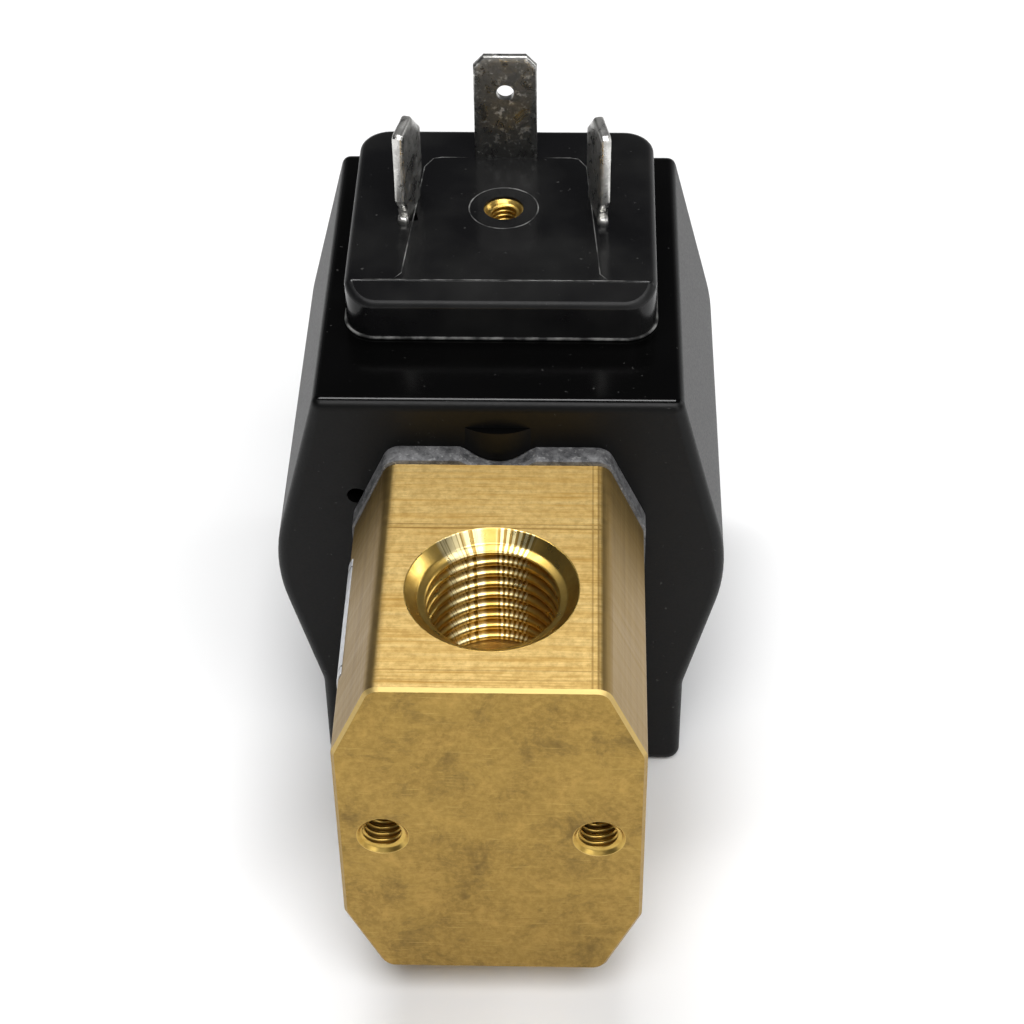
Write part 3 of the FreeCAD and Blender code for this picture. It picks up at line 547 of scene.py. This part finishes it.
blades.append(blade("blade_earth", earth_corners, earth_hole, thickness=0.8, hole=0.85, turn=0,
                    at=(0, earth_y)))
for piece, node in zip(blades, ("contact_left", "contact_right", "earth_contact")):
    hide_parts(node)

# %% [markdown]
# Tin stays silvery where a plug wipes it and greys in blotches of a millimetre or two where it
# is only handled. The two supply blades are fresher than the earth blade.

# %% Tin plate


def tin_plate(name, tarnish):
    """Tin plate with small bright spots; tarnish is how strong its dark blotches are."""
    finish, tree, place = new_finish(name)
    blotch = add(tree, "TexNoise", {"Vector": place, "Scale": per_mm(1.8), "Detail": 6.0,
                                    "Roughness": 0.7, "Distortion": 0.6}).outputs[0]
    speck = add(tree, "TexNoise", {"Vector": place, "Scale": per_mm(0.6), "Detail": 4.0,
                                  "Roughness": 0.65}).outputs[0]
    colour = blend(tree, ramp(tree, blotch, 0.42, 0.62, tarnish - 0.3, tarnish),
                   srgb("#D9D8D4"), srgb("#454442"))
    colour = blend(tree, ramp(tree, speck, 0.56, 0.66, 0.0, 0.85), colour, srgb("#EDECE8"))
    roughness = ramp(tree, blotch, 0.35, 0.65, 0.2, 0.46)
    relief = add(tree, "Bump", {"Height": speck, "Strength": 0.4, "Distance": 0.04 * MM})
    surface(tree, {"Base Color": colour, "Metallic": 1.0, "Roughness": roughness,
                   "Normal": relief.outputs[0]})
    return finish


bright_tin = tin_plate("bright_tin_plate", 0.35)
dull_tin = tin_plate("tarnished_tin_plate", 0.85)
for piece, tin in zip(blades, (bright_tin, bright_tin, dull_tin)):
    piece.data.materials.append(tin)
dress(dull_tin, "earth_link")

# %% [markdown]
# A supply blade is held by a small swaged pad of metal at its foot. A sphere whose coordinates
# are raised to a power below one is a pad with round corners, with no need of a modifier.

# %% Swaged feet of the supply blades


def swaged_foot(name, x, y):
    """A rounded pad: each coordinate of a sphere keeps its sign and has its size to the 0.7."""
    rise = np.linspace(-math.pi / 2, math.pi / 2, 17)[:, None]
    turn = np.linspace(0, 2 * math.pi, 32, endpoint=False)[None, :]
    ball = np.stack([np.cos(rise) * np.cos(turn), np.cos(rise) * np.sin(turn),
                     np.sin(rise) + 0 * turn], axis=-1)
    pad_shape = np.sign(ball) * np.abs(ball) ** 0.7
    half_size = np.array([0.55, 0.6, 0.6])
    points = np.array([x, y, platform + 0.15]) + pad_shape * half_size
    return grid_piece(name, points * MM)


for name, sign in (("foot_left", -1), ("foot_right", 1)):
    foot = swaged_foot(name, sign * (blade_x + 0.45), blade_y - 2.25)
    foot.data.materials.append(bright_tin)

# %% [markdown]
# ## Witness lines
# Where the inserts of the mould met, the plastic squeezed into a hair-thin fin. The fins draw
# the carrier's outline between the blades, the front edge of the bevel, a ring round the screw
# insert and the foot of the platform. Each is a bead carried along its path, a few hundredths
# of a millimetre high, because a painted line would have no edge to catch the light.

# %% Bead along a path


def bead(name, path, width, height, closed=False):
    """A six-sided section carried along the path: half the width times the cosine goes across,
    and the height times the sine goes up. Open ends close to a point."""
    path = np.array(path, float)
    ahead = np.roll(path, -1, axis=0) - np.roll(path, 1, axis=0)
    if not closed:
        ahead[0], ahead[-1] = path[1] - path[0], path[-1] - path[-2]
    ahead /= np.linalg.norm(ahead, axis=1, keepdims=True)
    side = np.cross(ahead, [0, 0, 1.0])
    turn = np.linspace(0, 2 * math.pi, 6, endpoint=False)
    swell = np.ones(len(path))
    if not closed:
        swell[[0, -1]] = 0
    spread = (np.cos(turn)[None, :] * width / 2 * swell[:, None])[..., None]
    rise = (np.sin(turn)[None, :] * height * swell[:, None])[..., None]
    points = path[:, None, :] + spread * side[:, None, :] + rise * np.array([0, 0, 1.0])
    if not closed:
        points = np.concatenate([points, points[::-1][:1], points[:1]])
    return grid_piece(name, points * MM)


# %% Draw the witness lines
front_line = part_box("terminal_carrier")[0][1] / MM
back_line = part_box("terminal_carrier")[1][1] / MM
circle = np.linspace(0, 2 * math.pi, 72, endpoint=False)
ring_radius = 3.3
line_width, line_height = 0.12, 0.03  # mm
ring = np.stack([ring_radius * np.cos(circle), insert_y + ring_radius * np.sin(circle),
                 platform + 0 * circle], axis=-1)
right = [(10.0, front_line), (9.2, front_line + 1.0), (7.9, back_line - 1.6),
         (7.1, back_line - 0.2), (6.3, back_line), (3.3, back_line)]
lines = [bead("witness_ring", ring, 0.13, line_height, closed=True)]
for side_name, sign in (("right", 1), ("left", -1)):
    path = [(sign * x, y, platform) for x, y in right]
    lines.append(bead(f"witness_{side_name}", path, line_width, line_height))
across = [(x, front_line, platform) for x in np.linspace(-13.6, 13.6, 12)]
lines.append(bead("witness_front", across, line_width, line_height))

# %% Bead round the foot of the platform, a rectangle with round corners
half_wide, half_deep, corner = 14.5, 13.5, 3.0
bevel_depth = 2.3
middle_y = front_line - bevel_depth + half_deep
angle = np.linspace(0, 2 * math.pi, 120, endpoint=False)
arc_x, arc_y = np.cos(angle), np.sin(angle)
stand_off = 0.06
flash_width, flash_height = 0.3, 0.16
collar = np.stack([arc_x * (corner + stand_off) + np.sign(arc_x) * (half_wide - corner),
                   arc_y * (corner + stand_off) + np.sign(arc_y) * (half_deep - corner)
                   + middle_y, deck + flash_height + 0 * angle], axis=-1)
lines.append(bead("platform_flash", collar, flash_width, flash_height, closed=True))

# %% Plastic of the fins


def fin_painted_highlight():
    """Grey beside the polished black: a painted highlight for the light that the thin fins catch."""
    finish, tree, place = new_finish("fin_painted_highlight")
    cloud = add(tree, "TexNoise", {"Vector": place, "Scale": per_mm(1.2), "Detail": 3.0}).outputs[0]
    colour = blend(tree, ramp(tree, cloud, 0.4, 0.68), srgb("#222222"), srgb("#7A7A78"))
    surface(tree, {"Base Color": colour, "Roughness": 0.55, "Specular IOR Level": 0.3})
    return finish


fin = fin_painted_highlight()
for piece in lines:
    piece.data.materials.append(fin)

# %% [markdown]
# ## Plate between body and coil
# The plate is moulded in grey fibre-filled nylon. It was never finished, so its edge is rough
# and frosted, with light scuffs on darker plastic. The solid's shape is right, so it only gets
# a finish: the roughness is a bump of about 0.15 mm.

# %% Fibre-filled plate


def frosted_plate():
    """Grey clouds of 1.3 mm with pale pits of 0.35 mm, as broken fibre leaves on a cut edge."""
    finish, tree, place = new_finish("fibre_filled_nylon")
    cloud = add(tree, "TexNoise", {"Vector": place, "Scale": per_mm(1.3), "Detail": 7.0,
                                   "Roughness": 0.75}).outputs[0]
    pits = add(tree, "TexNoise", {"Vector": place, "Scale": per_mm(0.35), "Detail": 3.0}).outputs[0]
    colour = blend(tree, ramp(tree, cloud, 0.38, 0.62), srgb("#38383A"), srgb("#79797A"))
    colour = blend(tree, ramp(tree, pits, 0.58, 0.7, 0.0, 0.5), colour, srgb("#A8A8A6"))
    relief = add(tree, "Bump", {"Height": cloud, "Strength": 0.8, "Distance": 0.15 * MM})
    surface(tree, {"Base Color": colour, "Roughness": 0.62, "Normal": relief.outputs[0]})
    return finish


dress(frosted_plate(), "coil_gasket")

# %% [markdown]
# ## Label
# A satin foil label is stuck on the left flat. It carries no print but thin frame lines, drawn
# in the material at their distances from the label's own corners.

# %% Foil label


def foil_label():
    """Rolled aluminium under lacquer: a dull, slightly uneven sheen, less bright than bare metal."""
    finish, tree, place = new_finish("satin_foil_label")
    spot = add(tree, "SeparateXYZ", {0: place}).outputs
    frame_low, frame_high = [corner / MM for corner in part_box("nameplate")]
    lines = score_lines(tree, spot["Y"], [frame_low[1] + 1.0, frame_high[1] - 1.0])
    more = score_lines(tree, spot["Z"], [frame_low[2] + 1.0, frame_high[2] - 2.6, 0.0])
    marks = add(tree, "Math", {0: lines, 1: more}, operation="MAXIMUM").outputs[0]
    foil = add(tree, "TexNoise", {"Vector": place, "Scale": per_mm(0.8), "Detail": 4.0}).outputs[0]
    colour = blend(tree, ramp(tree, foil, 0.35, 0.7), srgb("#C9CBCD"), srgb("#B2B4B6"))
    colour = blend(tree, marks, colour, srgb("#26272A"))
    relief = add(tree, "Bump", {"Height": foil, "Strength": 0.15, "Distance": 0.02 * MM})
    surface(tree, {"Base Color": colour, "Metallic": 0.6, "Roughness": 0.38,
                   "Normal": relief.outputs[0]})
    return finish


dress(foil_label(), "nameplate")

# %% [markdown]
# ## Core with its threaded stud
# The fixed core is one turned piece. Its section is carried round the armature axis, and along
# the stud the radius follows the same thread form as the holes, here cut from outside. A screw
# modifier would leave the thread's ends open, and a profile over a grid closes them.

# %% Turn the core
core_low, core_high = [np.array(corner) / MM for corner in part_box("fixed_core")]
tube_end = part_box("armature_tube")[1][1] / MM


def turned_core():
    """Radius at each y from the section, less the thread depth between collar and stud tip."""
    face, stud_end = core_low[1], core_high[1]
    collar_end = tube_end + 3.4
    groove_inner, groove_outer, groove_floor = 3.6, 4.6, face + 1.5
    core_radius, collar_radius = 5.45, 6.75
    section = [(0, face), (groove_inner, face), (groove_inner, groove_floor),
               (groove_outer, groove_floor), (groove_outer, face), (core_radius, face),
               (core_radius, tube_end), (collar_radius, tube_end), (collar_radius, collar_end)]
    y_stud = np.linspace(collar_end, stud_end, 130)
    angle = np.linspace(0, 2 * math.pi, 96, endpoint=False)[None, :]
    stud_radius, stud_pitch, thread_depth = 4.0, 1.25, 0.7
    turn = y_stud[:, None] / stud_pitch + angle / (2 * math.pi)
    end_cone = stud_radius - thread_depth + (stud_end - y_stud)
    end_cone = np.minimum(stud_radius, end_cone)[:, None]
    stud = np.minimum(stud_radius - thread_form(turn, thread_depth), end_cone)
    radius = np.vstack([np.array([r for r, _ in section])[:, None] + 0 * angle, stud, 0 * angle])
    y = np.concatenate([[y for _, y in section], y_stud, [stud_end]])[:, None] + 0 * angle
    points = np.stack([radius * np.cos(angle), y, radius * np.sin(angle)], axis=-1)
    return grid_piece("turned_core", points * MM, sharp=35)


core = turned_core()
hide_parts("fixed_core")

# %% [markdown]
# ## Return spring
# The spring is wound from stainless wire, with a closed turn at each end. It shortens when the
# armature lifts; here the wire is one new piece, wound at a single length. A circle carried
# along a helix gives it, and the helix climbs more slowly in the end turns.

# %% Wind the spring
spring_low, spring_high = [np.array(corner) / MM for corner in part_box("return_spring")]
wire = 0.25  # mm, radius of the wire
turns = 7.0


def wound_spring():
    """Circle of wire on a helix: y climbs a wire's width in each end turn, evenly between."""
    turn = np.linspace(0, turns, 337)
    start, end = spring_low[1] + wire, spring_high[1] - wire
    closed_turn = 2.1 * wire
    climb = np.interp(turn, [0, 1, turns - 1, turns],
                      [start, start + closed_turn, end - closed_turn, end])
    mean_radius = spring_high[0] - wire
    around = np.linspace(0, 2 * math.pi, 12, endpoint=False)[None, :]
    thick = np.full((len(turn), 1), wire)
    # One more row at each end, with no thickness, closes the wire.
    turn, climb = np.pad(turn, 1, mode="edge"), np.pad(climb, 1, mode="edge")
    thick = np.pad(thick, ((1, 1), (0, 0)))
    angle = 2 * math.pi * turn[:, None]
    radius = mean_radius + thick * np.cos(around)
    points = np.stack([radius * np.cos(angle), climb[:, None] + thick * np.sin(around),
                       radius * np.sin(angle)], axis=-1)
    return grid_piece("wound_spring", points * MM)


spring = wound_spring()
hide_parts("return_spring")
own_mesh(spring)

# %% [markdown]
# ## Steel, copper, rubber and the rest
# The inner parts are seen only in a section, but each still gets the finish it has in life:
# turning marks on steel, wire turns on the winding, a moulded skin on rubber and plastic. Two
# functions cover them all, because they differ only in colour, gloss and the pitch of a mark.

# %% Turned and plated metals


def turned_metal(name, light, dark, rough, pitch, axis):
    """Metal with fine tool marks every pitch mm along an axis (0, 1 or 2)."""
    finish, tree, place = new_finish(name)
    along = add(tree, "SeparateXYZ", {0: place}).outputs[axis]
    phase = add(tree, "Math", {0: along, 1: 2 * math.pi * per_mm(pitch)}, operation="MULTIPLY")
    marks = add(tree, "Math", {0: phase.outputs[0]}, operation="SINE").outputs[0]
    cloud = add(tree, "TexNoise", {"Vector": place, "Scale": per_mm(3), "Detail": 5.0}).outputs[0]
    colour = blend(tree, ramp(tree, cloud, 0.3, 0.7), srgb(light), srgb(dark))
    roughness = ramp(tree, cloud, 0.3, 0.7, rough - 0.05, rough + 0.08)
    relief = add(tree, "Bump", {"Height": marks, "Strength": 0.2, "Distance": 0.01 * MM})
    surface(tree, {"Base Color": colour, "Metallic": 1.0, "Roughness": roughness,
                   "Normal": relief.outputs[0]})
    return finish


# Ferritic stainless from the lathe, with marks 0.2 mm apart: silver grey and fairly bright.
turned_steel = turned_metal("turned_magnetic_steel", "#B8B9BB", "#96989B", 0.28, 0.2, 1)
core.data.materials.append(turned_steel)
dress(turned_steel, "plunger")
# Drawn tube is the smoothest, and spring wire keeps a duller skin from its die.
dress(turned_metal("drawn_stainless_tube", "#C2C3C4", "#A6A8AA", 0.25, 0.4, 1), "armature_tube")
spring.data.materials.append(turned_metal("spring_wire", "#A7A8AA", "#7F8184", 0.3, 0.6, 1))
# Zinc plate has a cold, faintly blue sheen.
dress(turned_metal("zinc_plated_steel", "#C4C8CC", "#9FA6AE", 0.3, 0.5, 1),
      "coil_nut", "spring_washer", "yoke", "flux_bush_front", "flux_bush_back")
# Enamelled copper wire, 0.45 mm from turn to turn so that the turns show in a section.
dress(turned_metal("enamelled_copper", "#C2703D", "#8E4524", 0.3, 0.45, 1),
      "coil_winding", "lead_wire_left", "lead_wire_right", "shading_ring")

# %% Rubber, nylon, tape and low-friction ring


def moulded_skin(name, light, dark, rough, grain):
    """Moulded or extruded plastic and rubber: a slight cloud and a fine grain."""
    finish, tree, place = new_finish(name)
    cloud = add(tree, "TexNoise", {"Vector": place, "Scale": per_mm(2.5), "Detail": 4.0}).outputs[0]
    pores = add(tree, "TexNoise", {"Vector": place, "Scale": per_mm(grain), "Detail": 2.0}).outputs[0]
    colour = blend(tree, ramp(tree, cloud, 0.3, 0.7), srgb(light), srgb(dark))
    relief = add(tree, "Bump", {"Height": pores, "Strength": 0.3, "Distance": 0.02 * MM})
    surface(tree, {"Base Color": colour, "Roughness": rough, "Normal": relief.outputs[0]})
    return finish


# Nitrile is matt black, filled PTFE is a waxy white, glass-filled nylon is a dull dark grey,
# and the polyester tape is yellow and slightly glossy.
dress(moulded_skin("nitrile_rubber", "#1D1D1E", "#131314", 0.6, 0.2),
      "tube_o_ring", "plunger_seal", "nut_seal")
dress(moulded_skin("filled_ptfe", "#EDEBE4", "#DCD9CF", 0.45, 0.3), "plunger_guide_ring")
dress(moulded_skin("glass_filled_nylon", "#2B2B2C", "#1F1F20", 0.5, 0.3), "coil_bobbin")
dress(moulded_skin("polyester_tape", "#D2B24C", "#BE9C36", 0.35, 0.5), "winding_tape")

# %% [markdown]
# ## Stage, light and camera
# The valve lies on the flat foot of its coil on a sheet of white paper. Two soft boxes hang over
# it, a wide one just in front of the zenith and a narrow one just behind, so the rounded edges
# on top pick up bright lines. Two weak ones fill from the front and the right. The room is pale
# at the horizon, and dim above and to the left, so the black tops stay black and the left flats
# stay darker. One lamp straight above would be simpler, but would leave the bends unlit.

# %% Floor
floor_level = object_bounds()[0][2]
bpy.ops.mesh.primitive_plane_add(size=8, location=(0, 0, floor_level - 0.05 * MM))
floor = bpy.context.object
floor.name = "floor"
# The paper is lit through from below further out, so that it stays pale up to the horizon.
paper, paper_tree, paper_place = new_finish("white_paper")
distance = add(paper_tree, "VectorMath", {0: paper_place}, operation="LENGTH").outputs["Value"]
backlight = ramp(paper_tree, distance, 0.5, 1.6, 0.0, 0.75)
surface(paper_tree, {"Base Color": srgb("#F2F2F2"), "Roughness": 0.9,
                     "Emission Color": srgb("#FFFFFF"), "Emission Strength": backlight})
floor.data.materials.append(paper)
print(f"floor at {floor_level / MM:.2f} mm")

# %% Surroundings: a pale horizon below a dim ceiling
world = bpy.data.worlds.new("pale_room")
bpy.context.scene.world = world
world.use_nodes = True
room = world.node_tree
room.nodes.clear()
toward = add(room, "SeparateXYZ", {0: add(room, "TexCoord").outputs["Generated"]}).outputs
dimming = ramp(room, toward["Z"], 0.0, 0.55)
air = blend(room, dimming, srgb("#E0E0E0"), srgb("#464648"))
air = blend(room, ramp(room, toward["X"], 0.1, -0.7, 0.0, 0.8), air, srgb("#2C2C2D"))
glow = add(room, "Background", {"Color": air, "Strength": 0.75})
add(room, "OutputWorld", {"Surface": glow.outputs[0]})
print(f"{world.name}: {len(room.nodes)} nodes")

# %% Four soft boxes


def soft_box(name, place, aim, size, power):
    """An area light that faces a point; size is its width and height."""
    light = bpy.data.lights.new(name, "AREA")
    light.shape = "RECTANGLE"
    light.size, light.size_y = size
    light.energy = power
    lamp = bpy.data.objects.new(name, light)
    bpy.context.scene.collection.objects.link(lamp)
    lamp.location = place
    lamp.rotation_euler = (Vector(aim) - Vector(place)).to_track_quat("-Z", "Y").to_euler()
    print(f"{name}: {power} W")


valve_middle = (0, 0.03, 0)
soft_box("soft_box_above", (0.06, -0.33, 0.72), valve_middle, (0.6, 0.36), 5.0)
soft_box("soft_box_crown", (-0.08, 0.26, 0.76), valve_middle, (0.5, 0.15), 4.0)
soft_box("soft_box_front", (0.5, -0.7, 0.4), valve_middle, (0.4, 0.4), 1.2)
soft_box("soft_box_right", (0.8, 0.3, 0.35), valve_middle, (0.3, 0.3), 1.6)
bpy.context.scene.view_settings.view_transform = "Standard"

# %% [markdown]
# The camera looks down at the end of the body from 43 degrees, with a long lens, so the port,
# the fixing holes and the platform all show. Its turn is built from the pitch, the heading and
# a slight tilt, because three angles are easier to read than a matrix.

# %% Camera
camera_data = bpy.data.cameras.new("camera")
camera_data.lens = 86.55
camera_data.sensor_width = 36
camera_data.clip_start = 0.01
camera = bpy.data.objects.new("camera", camera_data)
bpy.context.scene.collection.objects.link(camera)
pitch, heading, tilt = math.radians(42.74), math.radians(-2.06), math.radians(-0.85)
forward = Vector((math.sin(heading) * math.cos(pitch), math.cos(heading) * math.cos(pitch),
                  -math.sin(pitch)))
sideways = Vector((math.cos(heading), -math.sin(heading), 0))
upright = sideways.cross(forward)
right_way = math.cos(tilt) * sideways + math.sin(tilt) * upright
up_way = math.cos(tilt) * upright - math.sin(tilt) * sideways
turned = Matrix((right_way, up_way, -forward)).transposed()
stand = Vector((7.28, -139.04, 167.48)) * MM
camera.matrix_world = Matrix.Translation(stand) @ turned.to_4x4()
bpy.context.scene.camera = camera
print(f"camera {camera_data.lens} mm lens, pitched {math.degrees(pitch):.1f} degrees down")
